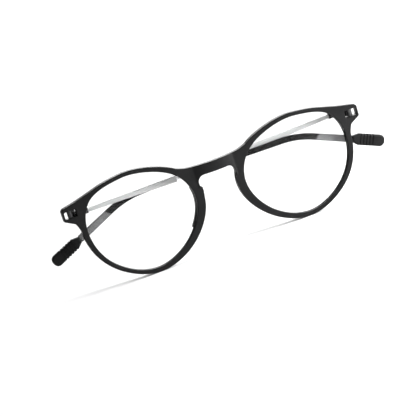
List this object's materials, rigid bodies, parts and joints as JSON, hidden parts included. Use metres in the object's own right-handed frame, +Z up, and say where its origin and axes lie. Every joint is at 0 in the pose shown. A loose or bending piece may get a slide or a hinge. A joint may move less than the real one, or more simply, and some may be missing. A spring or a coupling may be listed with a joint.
{
  "type": "folding reading glasses",
  "caption": "Slim folding reading glasses with round lenses, a keyhole bridge, thin temples that fold flat behind the front, and grooved rubber ear tips.",
  "frame": {"origin": "middle of the front, level with the bottom of the rims, halfway through the rims' depth", "axes": "+Z up as worn, the front faces -Y, the wearer's left is +X"},
  "size_m": [0.1517, 0.01, 0.0448],
  "materials": {
    "matte_frame": "fine matte, moulded",
    "clear_lens": "clear, polished",
    "pin_steel": "dark steel",
    "black_knuckle": "black, semi-gloss",
    "satin_blade": "satin grey",
    "rod_steel": "drawn steel",
    "gloss_bar": "black gloss",
    "tip_rubber": "soft matte rubber"
  },
  "bodies": {
    "front": {"front_frame": "matte_frame", "left_lens": "clear_lens", "right_lens": "clear_lens", "left_hinge_pin": "pin_steel", "right_hinge_pin": "pin_steel"},
    "right_temple": {"right_temple_knuckle": "black_knuckle", "right_temple_blade": "satin_blade", "right_temple_rod": "rod_steel", "right_temple_bar": "gloss_bar", "right_temple_tip": "tip_rubber"},
    "left_temple": {"left_temple_knuckle": "black_knuckle", "left_temple_blade": "satin_blade", "left_temple_rod": "rod_steel", "left_temple_bar": "gloss_bar", "left_temple_tip": "tip_rubber"}
  },
  "joints": [
    {"name": "right_temple_hinge", "type": "hinge", "parent": "front", "child": "right_temple", "pos_m": [-0.06335, 0.0004, 0.0358], "axis": [0, 0, 1], "range_deg": [0, 93]},
    {"name": "left_temple_hinge", "type": "hinge", "parent": "front", "child": "left_temple", "pos_m": [0.06335, 0.0004, 0.0358], "axis": [0, 0, -1], "range_deg": [0, 93]}
  ]
}
